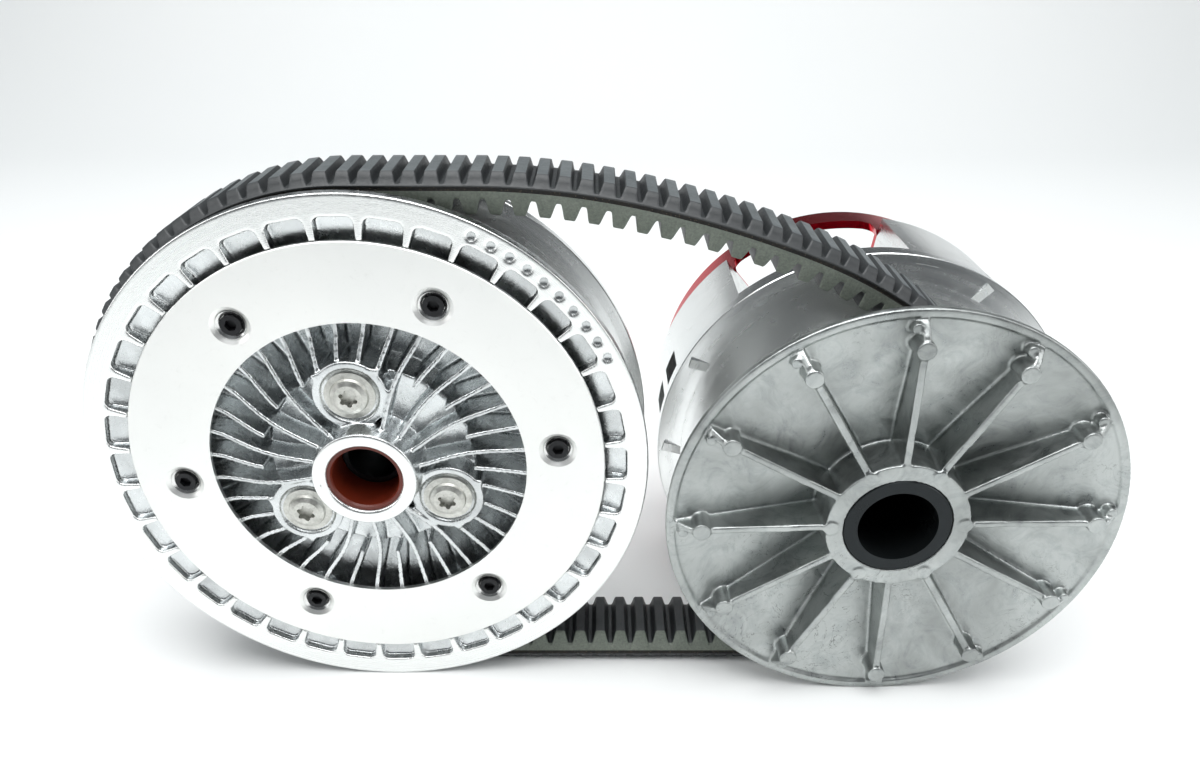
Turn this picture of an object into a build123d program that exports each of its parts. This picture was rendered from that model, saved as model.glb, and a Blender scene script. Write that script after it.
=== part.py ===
from build123d import *
import os
from math import atan2, cos, degrees, hypot, pi, radians, sin, tan

# Variable-speed belt drive: a drive pulley and a driven pulley joined by a double-cog V-belt.
# Millimetres. Origin on the drive axis at the mouth of the shaft bore, +Y into the pulley,
# +X away from the driven pulley, +Z up. Both axes are parallel to Y.

# ---- driving dimensions ----
FLANK = 13.5                    # half-angle of the belt groove, degrees
SLOPE = tan(radians(FLANK))
TRAVEL = 24.0                   # axial shift of either moving sheave
FLOOR_Z = -112.0

# drive pulley
DRIVE_R = 112.0
DRIVE_FACE_Y = 9.8              # belt face of the fixed sheave at its rim
DRIVE_REAR_Y = 77.0             # belt face of the moving sheave at its rim, drive open
DRIVE_BORE_R = 19.5
DRIVE_NOSE_R = 26.5
DRIVE_HUB_R = 35.0
DRIVE_RIM_Y = 5.8
SLIDE_R = 22.0                  # shaft radius under the moving sheave
SPIDER_SEAT_R = 20.0
TAIL_R = 17.0                   # shaft radius under the cover bush
RIBS = 12
RIB_ANGLE = 91.3
RIB_T = 3.6
TOWER_ANGLE = 46.0
GAP_ANGLE = 106.0
TOWER_R = 110.6
TOWER_REAR_Y = 142.0
TOWER_HALF = 36.0               # half-angle of a tower wall
PIVOT_R, PIVOT_Y = 84.0, 102.0  # flyweight pin
ROLLER_R, ROLLER_Y = 62.0, 120.0
CAM_ROLLER_R = 9.0
WEIGHT_REST = 12.1
WEIGHT_SWING = degrees(0.6)     # turn of a flyweight over the full travel
COVER_R = 103.8
COVER_REAR_Y = 174.0
COVER_LAND_Y = 155.5
COVER_SCREW_R, COVER_SCREW_ANGLE = 93.5, 32.6

# driven pulley
DRIVEN_X, DRIVEN_Z = -256.5, 24.0
DRIVEN_R = 136.0
DRIVEN_FACE_Y = 22.3            # belt face of the moving sheave at its rim, closed
DRIVEN_REAR_Y = 63.4            # belt face of the fixed sheave at its rim
DRIVEN_RIM_Y = 16.45
FACE_INNER_R = 58.0
PLATE_R0, PLATE_R1 = 76.6, 114.9
PLATE_SEAT_Y = 18.4
PLATE_SCREW_R = 92.5
FIN_ANGLE = 5.8
FINS = 36
FIN_T = 2.2
LOBE_ANGLE = 95.8
LOBE_R = 40.8
SHAFT_R = 15.95
DRIVEN_BORE_R = 12.7
SHAFT_FRONT_Y = 26.0
TWIST = degrees(0.5232)         # turn of the moving sheave over the full travel

# belt
BELT_Y = 43.1
BELT_HALF = 18.15
CORD_IN, CORD_OUT = -13.0, 6.8  # cog tips below and above the cord line
OUTER_COGS, INNER_COGS = 123, 104
BELT_START = (51.0, 4.8)
BELT_ROUTE = (                  # (radius, turn) arcs and (length, 0) straights, anticlockwise
    (118.0, 56.0),
    (240.0, 12.0),
    (500.0, 10.0),
    (350.0, 12.0),
    (54.8, 0.0),
    (132.3, 180.0),
    (197.5, 0.0),
    (110.0, 90.0),
)


# ---- helpers ----
def turned(points):
    """Solid of revolution about the Y axis from (radius, y) corners."""
    outline = Polyline(*[(r, y, 0) for r, y in points], close=True)
    return revolve(make_face(outline), Axis.Y, 360)


def at_angle(angle, shape):
    """Turn a shape about Y so that its +X side points to an angle from +X towards +Z."""
    return Rot(0, -angle, 0) * shape


def polar(r, angle):
    return r * cos(radians(angle)), r * sin(radians(angle))


def plate(sketch, y0, y1):
    """Extrude an outline drawn in (x, z) from station y0 to station y1."""
    rear = Plane(origin=(0, y1, 0), x_dir=(1, 0, 0), z_dir=(0, -1, 0))
    return extrude(rear * sketch, amount=y1 - y0)


def rod(r, x, z, y0, y1):
    """Round bar along Y."""
    return plate(Pos(x, z) * Circle(r), y0, y1)


def radial_rod(r, x0, x1, y):
    """Round bar along X at station y."""
    return Pos(x0, y, 0) * Rot(0, 90, 0) * Cylinder(r, x1 - x0, align=(Align.CENTER, Align.CENTER, Align.MIN))


def side_plate(points, t, offset=0.0):
    """Plate of thickness t lying in the (radius, y) plane, its middle moved by offset along Z."""
    outline = make_face(Polyline(*[(r, y, 0) for r, y in points], close=True))
    return Pos(0, 0, offset) * extrude(outline, amount=t / 2, both=True)


def sector(r0, r1, half):
    """Ring sector about +X, half-angle half."""
    a0, a1 = polar(r0, -half), polar(r0, half)
    b0, b1 = polar(r1, -half), polar(r1, half)
    arcs = ThreePointArc(a0, (r0, 0), a1) + ThreePointArc(b0, (r1, 0), b1)
    return make_face(arcs + Line(a0, b0) + Line(a1, b1))


def repeat(shape, first, count):
    """Copies of a shape spread evenly about Y."""
    return [at_angle(first + 360.0 / count * k, shape) for k in range(count)]


def fused(shapes):
    whole = shapes[0]
    return whole.fuse(*shapes[1:]) if len(shapes) > 1 else whole


def at_driven(shape):
    return Pos(DRIVEN_X, 0, DRIVEN_Z) * shape


def coil(mean_r, wire_r, y0, y1, turns):
    """Helical compression spring about Y."""
    height = y1 - y0 - 2 * wire_r
    path = Helix(pitch=height / turns, height=height, radius=mean_r)
    wire = sweep(Plane(path @ 0, z_dir=path % 0) * Circle(wire_r), path)
    return Pos(0, y0 + wire_r, 0) * Rot(-90, 0, 0) * wire


def write(name, shapes):
    shapes = shapes if isinstance(shapes, list) else [shapes]
    solids = [s for shape in shapes for s in shape.solids()]
    item = solids[0] if len(solids) == 1 else Compound(children=solids)
    item.label = name
    export_step(item, f"parts/{name}.step")


def groove_front(r, rim_r, rim_y):
    """Station of a belt face that leans away from the front rim."""
    return rim_y + SLOPE * (rim_r - r)


def groove_rear(r, rim_r, rim_y):
    return rim_y - SLOPE * (rim_r - r)


# ---- drive pulley, turning with the shaft ----
def drive_shaft():
    body = turned([
        (DRIVE_BORE_R, 0), (DRIVE_NOSE_R - 0.8, 0), (DRIVE_NOSE_R, 0.8), (DRIVE_NOSE_R, 31.0),
        (25.0, 31.0), (25.0, 53.0), (SLIDE_R, 54.0), (SLIDE_R, 103.5), (SPIDER_SEAT_R, 104.0),
        (SPIDER_SEAT_R, 128.0), (TAIL_R, 129.0), (TAIL_R, 169.2), (TAIL_R - 0.8, 170.0), (11.0, 170.0),
        (11.0, 164.0), (8.5, 163.0), (8.5, 76.0), (12.0, 66.0), (DRIVE_BORE_R, 56.0),
    ])
    return body


def drive_fixed_sheave():
    def face(r):
        return groove_front(r, DRIVE_R, DRIVE_FACE_Y)

    disc = turned([
        (DRIVE_NOSE_R, 0), (DRIVE_HUB_R, 0), (DRIVE_HUB_R + 1.5, 21.5), (107.0, 7.4), (108.2, DRIVE_RIM_Y),
        (DRIVE_R - 0.5, DRIVE_RIM_Y), (DRIVE_R, DRIVE_RIM_Y + 0.5), (DRIVE_R, DRIVE_FACE_Y),
        (34.5, face(34.5)), (34.5, 30.8), (DRIVE_NOSE_R, 30.8),
    ])
    rib = side_plate([
        (33.8, 0.3), (88.0, -0.6), (97.5, -1.4), (101.0, -0.4), (106.4, 4.6), (107.6, 8.2),
        (107.0, 9.0), (36.0, 24.5), (33.8, 24.5),
    ], RIB_T)
    boss = rod(4.5, 95.0, 0, -2.2, 11.0)
    bump = rod(2.6, 103.6, 3.4, 2.6, 9.0)
    spoke = fused([rib, boss, bump])
    knob = rod(3.7, 32.4, 0, -0.7, 8.0)
    spokes = repeat(spoke, RIB_ANGLE, RIBS)
    knobs = repeat(knob, RIB_ANGLE - 90, 6)
    return fused([disc] + spokes + knobs) - rod(DRIVE_NOSE_R, 0, 0, -5, 35)


def belt_bearing_inner():
    return turned([(25.0, 31.2), (29.0, 31.2), (29.0, 51.0), (25.0, 51.0)])


def belt_bearing_outer():
    return turned([
        (33.0, 31.2), (36.4, 31.2), (37.0, 31.8), (37.0, 50.4), (36.4, 51.0), (33.0, 51.0),
    ])


def belt_bearing_needles():
    needle = rod(1.96, 31.0, 0, 32.5, 49.7)
    return repeat(needle, 0, 36)


def drive_spider():
    hub = turned([
        (SPIDER_SEAT_R, 104.0), (33.8, 104.0), (33.8, 128.0), (30.6, 128.0), (30.6, 108.0),
        (23.4, 108.0), (23.4, 128.0), (SPIDER_SEAT_R, 128.0),
    ])
    arm = plate(Pos(52, 0) * Rectangle(44, 30), 104.0, 124.0)
    head = plate(Pos(86.5, 0) * RectangleRounded(21, 44, 3), 102.0, 126.0)
    ear_side = [(32.0, 112.5), (62.0, 112.5), (67.3, 114.7), (69.5, 120.0), (67.3, 125.3), (62.0, 127.5), (32.0, 127.5)]
    ears = [side_plate(ear_side, 4.0, z) for z in (-7.6, 7.6)]
    arms = repeat(arm, TOWER_ANGLE, 3) + repeat(head, TOWER_ANGLE, 3)
    forks = repeat(ears[0], GAP_ANGLE, 3) + repeat(ears[1], GAP_ANGLE, 3)
    body = fused([hub] + arms + forks)
    pin_hole = Pos(ROLLER_R, ROLLER_Y, 0) * Cylinder(3.0, 30)
    pocket = turned([(23.4, 108.0), (30.6, 108.0), (30.6, 130.0), (23.4, 130.0)])
    bore = rod(SPIDER_SEAT_R, 0, 0, 100, 130)
    button_hole = Pos(86.5, 114.0, 0) * Cylinder(5.0, 60)
    return body - repeat(pin_hole, GAP_ANGLE, 3) - pocket - bore - repeat(button_hole, TOWER_ANGLE, 3)


def guide_buttons():
    button = [
        Pos(86.5, 114.0, side * 15.4) * Rot(90 - side * 90, 0, 0) * (
            Pos(0, 0, 1.6) * Cylinder(4.95, 10.0) + Pos(0, 0, 7.45) * Cylinder(7.5, 1.5)
        )
        for side in (-1, 1)
    ]
    return repeat(button[0], TOWER_ANGLE, 3) + repeat(button[1], TOWER_ANGLE, 3)


def roller_pins():
    pin = Pos(ROLLER_R, ROLLER_Y, 0) * Cylinder(3.0, 20.8)
    return repeat(pin, GAP_ANGLE, 3)


def cam_roller(index):
    tyre = Pos(ROLLER_R, ROLLER_Y, 0) * (Cylinder(CAM_ROLLER_R, 10.0) - Cylinder(3.06, 12.0))
    return at_angle(GAP_ANGLE + 120 * index, tyre)


# ---- drive pulley, sliding half ----
def tower():
    """Skirt wall with a channel inside for one spider arm and two pads for the cover."""
    wall = plate(sector(104.0, TOWER_R, TOWER_HALF), 80.0, TOWER_REAR_Y)
    lip = plate(sector(101.2, TOWER_R - 0.4, TOWER_HALF), 135.0, TOWER_REAR_Y)
    guides = [plate(Pos(90.5, z) * Rectangle(31, 5), 74.0, TOWER_REAR_Y - 6.0) for z in (-26.5, 26.5)]
    end = plate(sector(87.0, 108.0, 3.2), 76.0, TOWER_REAR_Y)
    ends = [at_angle(side * (TOWER_HALF - 3.2), end) for side in (-1, 1)]
    body = fused([wall, lip] + guides + ends)
    window = plate(sector(103.0, 120.0, 3.4), 90.0, 109.0)
    openings = [at_angle(side * 5.2, window) for side in (-1, 1)]
    tap = rod(2.0, COVER_SCREW_R, 0, 130.0, 150.0)
    taps = [at_angle(side * COVER_SCREW_ANGLE, tap) for side in (-1, 1)]
    return body - openings - taps


def drive_moving_sheave():
    def face(r):
        return groove_rear(r, DRIVE_R, DRIVE_REAR_Y)

    disc = turned([
        (24.0, 78.0), (38.7, 78.0), (38.7, face(39.6)), (39.6, face(39.6)), (DRIVE_R - 0.4, face(DRIVE_R - 0.4)),
        (DRIVE_R, DRIVE_REAR_Y + 0.4), (DRIVE_R, 83.0), (TOWER_R, 84.5), (TOWER_R, 90.0), (104.5, 90.0),
        (103.0, 82.0), (60.0, 76.0), (44.0, 80.0), (40.0, 98.0), (24.0, 98.0),
    ])
    lug_side = [(74.0, 74.0), (94.0, 78.0), (94.0, 84.0), (89.4, PIVOT_Y + 2.0), (86.5, PIVOT_Y + 5.2),
                (81.5, PIVOT_Y + 5.2), (78.6, PIVOT_Y + 2.0)]
    lugs = [side_plate(lug_side, 5.0, z) for z in (-8.1, 8.1)]
    towers = repeat(tower(), TOWER_ANGLE, 3)
    lug_set = repeat(lugs[0], GAP_ANGLE, 3) + repeat(lugs[1], GAP_ANGLE, 3)
    pin_hole = Pos(PIVOT_R, PIVOT_Y, 0) * Cylinder(3.0, 40)
    return fused([disc] + towers + lug_set) - repeat(pin_hole, GAP_ANGLE, 3)


def drive_slide_bush():
    return turned([(SLIDE_R + 0.04, 79.0), (24.0, 79.0), (24.0, 97.0), (SLIDE_R + 0.04, 97.0)])


def flyweight_pins():
    pin = Pos(PIVOT_R, PIVOT_Y, 0) * Cylinder(3.0, 22.4)
    return repeat(pin, GAP_ANGLE, 3)


def flyweight(index):
    """Centrifugal arm; its rear edge is the envelope of the cam roller seen from the pin."""
    steps = 12
    cam = []
    for k in range(steps + 1):
        shift = TRAVEL * k / steps
        swing = radians(WEIGHT_REST + WEIGHT_SWING * k / steps)
        inward, behind = PIVOT_R - ROLLER_R, ROLLER_Y - PIVOT_Y + shift
        rate = radians(WEIGHT_SWING) / TRAVEL
        u = inward * cos(swing) + behind * sin(swing)
        v = behind * cos(swing) - inward * sin(swing)
        du, dv = sin(swing) + rate * v, cos(swing) - rate * u
        gap = (CAM_ROLLER_R + 0.3) / hypot(du, dv)
        cam.append((u + gap * dv, v - gap * du))
    rear = Spline(*[(u, v, 0) for u, v in cam])
    start, end = rear @ 0, rear @ 1
    outline = rear + Polyline(
        (end.X, end.Y, 0), (48.5, 1.4, 0), (49.0, -1.0, 0), (46.0, -4.4, 0), (20.0, -5.2, 0), (0, -6.0, 0),
        (-5.2, -3.0, 0), (-6.0, 0, 0), (-5.2, 3.0, 0), (0, 6.0, 0), (8.0, 3.2, 0), (start.X - 5.0, 3.2, 0),
        (start.X, start.Y, 0),
    )
    arm = extrude(make_face(outline), amount=5.0, both=True) - Cylinder(3.05, 20)
    arm = Plane(origin=(0, 0, 0), x_dir=(-cos(radians(WEIGHT_REST)), sin(radians(WEIGHT_REST)), 0),
                z_dir=(0, 0, -1)) * arm
    return at_angle(GAP_ANGLE + 120 * index, Pos(PIVOT_R, PIVOT_Y, 0) * arm)


def drive_cover():
    """Open-backed red ring: legs on the towers, three spokes to the bush and spring seat."""
    wall = turned([
        (COVER_R - 4.5, TOWER_REAR_Y), (COVER_R, TOWER_REAR_Y), (COVER_R, COVER_REAR_Y - 1.0),
        (COVER_R - 1.0, COVER_REAR_Y), (COVER_R - 4.5, COVER_REAR_Y),
    ])
    gap = Pos(100.0, COVER_LAND_Y - 20.0, 0) * Rot(0, 90, 0) * extrude(
        RectangleRounded(2 * 100.0 * sin(radians(24.0)), 40.0, 6.0), amount=30.0, both=True)
    peep = Pos(100.0, TOWER_REAR_Y + 0.5, 0) * Rot(0, 90, 0) * extrude(Ellipse(5.6, 4.2), amount=15.0, both=True)
    foot = plate(sector(88.0, COVER_R - 2.0, 4.0), TOWER_REAR_Y, TOWER_REAR_Y + 4.5)
    web = turned([
        (TAIL_R + 1.6, 157.0), (22.5, 157.0), (22.5, 169.0), (32.0, 169.0), (32.0, 165.0), (36.0, 165.0),
        (36.0, 169.0), (COVER_R - 4.0, 169.0), (COVER_R - 4.0, COVER_REAR_Y), (TAIL_R + 1.6, COVER_REAR_Y),
    ])
    window = plate(sector(48.0, COVER_R - 4.4, 38.0), 160.0, 180.0)
    peeps = [at_angle(side * 41.0, peep) for side in (-1, 1)]
    wall = wall - repeat(gap, GAP_ANGLE, 3) - repeat(peeps[0], GAP_ANGLE, 3) - repeat(peeps[1], GAP_ANGLE, 3)
    spokes = web - repeat(window, GAP_ANGLE, 3)
    feet = [at_angle(side * (TOWER_HALF - 4.0), foot) for side in (-1, 1)]
    hole = rod(2.2, COVER_SCREW_R, 0, 140.0, 150.0)
    holes = [at_angle(side * COVER_SCREW_ANGLE, hole) for side in (-1, 1)]
    body = fused([wall, spokes] + repeat(feet[0], TOWER_ANGLE, 3) + repeat(feet[1], TOWER_ANGLE, 3))
    return body - repeat(holes[0], TOWER_ANGLE, 3) - repeat(holes[1], TOWER_ANGLE, 3)


def cover_screws():
    top = TOWER_REAR_Y + 4.5
    screw = rod(3.5, COVER_SCREW_R, 0, top, top + 4.0) + rod(2.0, COVER_SCREW_R, 0, 132.0, top + 0.5)
    screw = screw - plate(Pos(COVER_SCREW_R, 0) * RegularPolygon(1.75, 6), top + 1.5, top + 5.0)
    pair = [at_angle(side * COVER_SCREW_ANGLE, screw) for side in (-1, 1)]
    return repeat(pair[0], TOWER_ANGLE, 3) + repeat(pair[1], TOWER_ANGLE, 3)


def cover_bush():
    return turned([
        (TAIL_R + 0.04, 157.5), (TAIL_R + 1.6, 157.5), (TAIL_R + 1.6, 173.5), (TAIL_R + 0.04, 173.5),
    ])


def drive_spring():
    return coil(27.0, 2.4, 108.0, 169.0, 5.5)


# ---- driven pulley, turning with its shaft ----
def driven_shaft():
    return turned([
        (DRIVEN_BORE_R, SHAFT_FRONT_Y), (SHAFT_R - 0.8, SHAFT_FRONT_Y), (SHAFT_R, SHAFT_FRONT_Y + 0.8),
        (SHAFT_R, 76.0), (17.0, 76.0), (17.0, 128.0), (16.0, 129.0), (16.0, 145.0), (DRIVEN_BORE_R, 145.0),
    ])


def driven_fixed_sheave():
    def face(r):
        return groove_rear(r, DRIVEN_R, DRIVEN_REAR_Y)

    disc = turned([
        (17.0, 76.5), (26.5, 76.5), (26.5, 46.5), (FACE_INNER_R - 1.0, 46.5), (FACE_INNER_R, face(FACE_INNER_R)),
        (DRIVEN_R - 0.4, face(DRIVEN_R - 0.4)), (DRIVEN_R, DRIVEN_REAR_Y + 0.4), (DRIVEN_R, 68.0),
        (128.0, 70.0), (124.0, 68.5), (64.0, 55.0), (61.0, 57.5), (60.0, 57.5), (60.0, 55.5), (32.5, 55.5),
        (32.5, 83.5), (17.0, 83.5),
    ])
    rib = side_plate([(31.5, 80.0), (34.0, 80.0), (59.5, 60.5), (124.0, 71.0), (124.0, 66.0), (62.0, 52.0), (31.5, 52.0)], 3.5)
    slot = plate(sector(34.8, 49.6, 29.5), 40.0, 82.0)
    slots = repeat(slot, LOBE_ANGLE - TWIST / 2, 3)
    ribs = repeat(rib, LOBE_ANGLE - TWIST / 2 + 60.0, 3)
    clear = turned([(52.5, 55.5), (59.9, 55.5), (59.9, 90.0), (52.5, 90.0)])
    return fused([disc] + ribs) - slots - clear


def torque_cam():
    body = turned([(17.0, 84.0), (35.0, 84.0), (35.0, 128.0), (17.0, 128.0)])
    steps = 12
    cut = []
    for k in range(steps + 1):
        pocket = radial_rod(5.45, 27.0, 40.0, 118.0 - TRAVEL * k / steps)
        cut += repeat(pocket, 35.8 - TWIST * k / steps, 3)
    return body - cut


def shaft_nut():
    blank = plate(RegularPolygon(23.0, 6), 129.0, 138.0)
    return blank - rod(16.0, 0, 0, 120.0, 140.0)


# ---- driven pulley, sliding half ----
def fin_path(r, angle):
    """Middle line of a cooling fin: an S-bend between hub and plate, radial outside."""
    blend = min(max((r - 24.0) / 54.0, 0.0), 1.0)
    return polar(r, angle + 4.5 * sin(pi * blend) * cos(pi * blend / 2.0) + 1.5 * (1 - blend))


def fin(r0, angle):
    radii = [r0 + (118.0 - r0) * k / 14.0 for k in range(15)]
    middle = [fin_path(r, angle) for r in radii]
    left, right = [], []
    for k, (x, z) in enumerate(middle):
        x0, z0 = middle[max(k - 1, 0)]
        x1, z1 = middle[min(k + 1, len(middle) - 1)]
        length = hypot(x1 - x0, z1 - z0)
        nx, nz = -(z1 - z0) / length * FIN_T / 2, (x1 - x0) / length * FIN_T / 2
        left.append((x + nx, z + nz))
        right.append((x - nx, z - nz))
    return plate(make_face(Polyline(*(left + right[::-1]), close=True)), 5.0, 42.0)


def driven_moving_sheave():
    def face(r):
        return groove_front(r, DRIVEN_R, DRIVEN_FACE_Y)

    disc = turned([
        (18.2, 4.4), (24.4, 4.4), (25.0, 5.0), (27.0, 24.5), (50.0, 25.5), (54.0, face(54.0) - 5.5),
        (104.0, face(104.0) - 4.6), (104.0, PLATE_SEAT_Y), (115.3, PLATE_SEAT_Y), (115.3, DRIVEN_RIM_Y),
        (DRIVEN_R - 0.5, DRIVEN_RIM_Y), (DRIVEN_R, DRIVEN_RIM_Y + 0.5), (DRIVEN_R, DRIVEN_FACE_Y),
        (FACE_INNER_R, face(FACE_INNER_R)), (FACE_INNER_R - 1.2, 40.0), (23.6, 40.0), (23.6, 70.0), (18.2, 70.0),
    ])
    pocket = plate(fillet((Pos(113.25, 0) * Rectangle(24.5, 17.4)).vertices(), 3.2), 10.0, 30.0)
    floor = turned([(90.0, 5.0), (130.0, 5.0), (130.0, face(130.0) - 4.4), (90.0, face(90.0) - 4.4)])
    pockets = fused(repeat(pocket, FIN_ANGLE + 5.0, FINS)) & floor
    under = turned([
        (23.0, 11.0), (30.0, 11.8), (56.0, 15.6), (72.0, PLATE_SEAT_Y), (106.0, PLATE_SEAT_Y),
        (106.0, face(106.0) - 1.5), (56.0, face(56.0) - 3.0), (50.0, 36.0), (23.0, 36.0),
    ])
    fins = []
    for k in range(FINS):
        angle = FIN_ANGLE + 10.0 * k
        beside = (angle - LOBE_ANGLE) % 120.0
        reaches_hub = round(beside) in (30, 50, 70, 90)
        fins.append(fin(23.0 if reaches_hub else 51.0, angle))
    fins = fused(fins) & under
    lobe = plate(sector(23.5, 55.0, 17.0), 13.9, 39.0) + plate(Pos(LOBE_R, 0) * Circle(17.6), 13.9, 39.0)
    post = rod(8.6, PLATE_SCREW_R, 0, PLATE_SEAT_Y, 30.0)
    post_room = rod(5.9, PLATE_SCREW_R, 0, 10.0, 23.4)
    post_tap = rod(3.0, PLATE_SCREW_R, 0, 20.0, 31.0)
    body = fused([disc - pockets, fins] + repeat(lobe, LOBE_ANGLE, 3) + repeat(post, FIN_ANGLE, 6))
    seat = rod(14.0, LOBE_R, 0, 10.0, 15.4)
    through = rod(5.2, LOBE_R, 0, 10.0, 45.0)
    dimple = Pos(130.0, DRIVEN_RIM_Y - 2.2, 0) * Sphere(3.6)
    dimples = [at_angle(64.0 - 4.1 * k, dimple) for k in range(10)]
    punch = [at_angle(angle, Pos(21.3, 3.8, 0) * Sphere(1.2)) for angle in (187.0, 303.0)]
    body = body - repeat(post_room, FIN_ANGLE, 6) - repeat(post_tap, FIN_ANGLE, 6)
    body = body - repeat(seat, LOBE_ANGLE, 3) - repeat(through, LOBE_ANGLE, 3) - dimples - punch
    return body - turned([(5.0, 0.0), (19.2, 0.0), (19.2, 4.4), (18.2, 5.4), (18.2, 75.0), (5.0, 75.0)])


def front_bush():
    return turned([
        (SHAFT_R + 0.05, 7.0), (16.6, 6.0), (18.2, 6.0), (18.2, 69.0), (SHAFT_R + 0.05, 69.0),
    ])


def stiffener_plate():
    ring = turned([
        (PLATE_R0, 16.25), (PLATE_R1 - 0.4, 16.25), (PLATE_R1, 16.65), (PLATE_R1, PLATE_SEAT_Y),
        (PLATE_R0, PLATE_SEAT_Y),
    ])
    dish = Pos(PLATE_SCREW_R, 16.25, 0) * Rot(-90, 0, 0) * Cone(9.35, 7.1, 1.6, align=(Align.CENTER, Align.CENTER, Align.MIN))
    hole = rod(7.1, PLATE_SCREW_R, 0, 10.0, 20.0)
    return ring - repeat(dish, FIN_ANGLE, 6) - repeat(hole, FIN_ANGLE, 6)


def plate_cups():
    cup = turned([(3.4, 22.0), (5.5, 22.0), (5.5, 18.4), (6.9, 18.4), (6.9, 17.2), (5.2, 18.2), (5.2, 21.2), (3.4, 21.2)])
    return repeat(Pos(PLATE_SCREW_R, 0, 0) * cup, FIN_ANGLE, 6)


def plate_screws():
    head = rod(4.9, PLATE_SCREW_R, 0, 16.9, 21.2) + rod(3.0, PLATE_SCREW_R, 0, 20.0, 30.5)
    socket = plate(Pos(PLATE_SCREW_R, 0) * RegularPolygon(2.9, 6), 10.0, 19.8)
    return repeat(head - socket, FIN_ANGLE, 6)


def lobe_screws():
    crown = turned([(0, 10.7), (6.5, 11.0), (8.6, 12.2), (9.2, 13.5), (12.0, 13.9), (12.0, 15.4), (5.0, 15.4), (5.0, 62.0), (0, 62.0)])
    star = fused([plate(Circle(3.4), 5.0, 14.2)] + [
        plate(Pos(*polar(3.4, 60.0 * k)) * Circle(1.15), 5.0, 14.2) for k in range(6)
    ])
    return repeat(Pos(LOBE_R, 0, 0) * (crown - star), LOBE_ANGLE, 3)


def roller_carrier():
    ring = turned([
        (37.6, 110.0), (50.0, 110.0), (50.0, 119.0), (60.5, 121.2), (60.5, 126.0), (37.6, 126.0),
    ])
    leg = plate(Pos(41.75, 0) * RectangleRounded(10.5, 16.0, 2.5), 40.0, 112.0)
    tap = rod(5.0, LOBE_R, 0, 38.0, 64.0)
    pin_hole = radial_rod(2.5, 30.0, 55.0, 118.0)
    legs = [at_angle(LOBE_ANGLE + 120.0 * k, leg - tap) for k in range(3)]
    flange_room = turned([(50.05, 116.0), (62.0, 116.0), (62.0, 121.2), (50.05, 121.2)])
    return fused([ring] + legs) - repeat(pin_hole, 35.8, 3) - flange_room


def torque_pins():
    return repeat(radial_rod(2.5, 28.6, 49.5, 118.0), 35.8, 3)


def torque_roller(index):
    roller = radial_rod(5.0, 28.8, 36.6, 118.0) - radial_rod(2.55, 20.0, 40.0, 118.0)
    return at_angle(35.8 + 120.0 * index, roller)


def spring_washer():
    return turned([(50.6, 119.2), (60.5, 119.2), (60.5, 121.2), (50.6, 121.2)])


def driven_spring():
    return coil(56.2, 2.4, 57.6, 119.2, 4.5)


# ---- belt ----
def belt_line():
    """Cord line as (start, heading, radius, length) pieces, radius 0 for a straight."""
    x, z = BELT_START
    heading, pieces = 90.0, []
    for size, turn in BELT_ROUTE:
        if turn:
            pieces.append((x, z, heading, size, size * radians(turn)))
            x += size * (sin(radians(heading + turn)) - sin(radians(heading)))
            z += size * (cos(radians(heading)) - cos(radians(heading + turn)))
            heading += turn
        else:
            pieces.append((x, z, heading, 0.0, size))
            x += size * cos(radians(heading))
            z += size * sin(radians(heading))
    return pieces


def belt_point(pieces, s, n):
    """Point at arc length s along the cord line, n outside it."""
    for x, z, heading, radius, length in pieces:
        if s <= length:
            break
        s -= length
    s = min(s, length)
    if radius:
        turn = degrees(s / radius)
        x += radius * (sin(radians(heading + turn)) - sin(radians(heading)))
        z += radius * (cos(radians(heading)) - cos(radians(heading + turn)))
        heading += turn
    else:
        x += s * cos(radians(heading))
        z += s * sin(radians(heading))
    return x + n * sin(radians(heading)), z - n * cos(radians(heading))


def cog_edge(pieces, count, base, tip, root_share, tip_share):
    """Closed zigzag of flat-topped cogs."""
    total = sum(piece[4] for piece in pieces)
    pitch = total / count
    corners = []
    for k in range(count):
        middle = (k + 0.5) * pitch
        for share, n in ((-root_share, base), (-tip_share, tip), (tip_share, tip), (root_share, base)):
            corners.append(belt_point(pieces, middle + share * pitch / 2, n))
    return make_face(Polyline(*corners, close=True))


def belt_slab(pieces, half0, n0, half1, n1):
    """Outline of the whole belt loop between two offsets of the cord line."""
    x, z, heading, radius, length = pieces[0]
    section = Polyline(
        (x + n0, BELT_Y - half0, z), (x + n1, BELT_Y - half1, z), (x + n1, BELT_Y + half1, z),
        (x + n0, BELT_Y + half0, z), close=True,
    )
    edges = []
    for x, z, heading, radius, length in pieces:
        a = belt_point([(x, z, heading, radius, length)], 0, 0)
        m = belt_point([(x, z, heading, radius, length)], length / 2, 0)
        b = belt_point([(x, z, heading, radius, length)], length, 0)
        if radius:
            edges.append(ThreePointArc((a[0], BELT_Y, a[1]), (m[0], BELT_Y, m[1]), (b[0], BELT_Y, b[1])))
        else:
            edges.append(Line((a[0], BELT_Y, a[1]), (b[0], BELT_Y, b[1])))
    path = Wire(edges)
    return sweep(make_face(section), path, transition=Transition.RIGHT)


def drive_belt():
    pieces = belt_line()
    outer = cog_edge(pieces, OUTER_COGS, 1.5, CORD_OUT, 0.86, 0.52)
    inner = cog_edge(pieces, INNER_COGS, -5.0, CORD_IN, 0.80, 0.46)
    blank = plate(outer - inner, BELT_Y - 25.0, BELT_Y + 25.0)
    lower = belt_slab(pieces, BELT_HALF - SLOPE * 16.5, -15.0, BELT_HALF, 1.5)
    upper = belt_slab(pieces, BELT_HALF, 1.5, BELT_HALF - 4.2, 8.0)
    return blank & (lower + upper)


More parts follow.
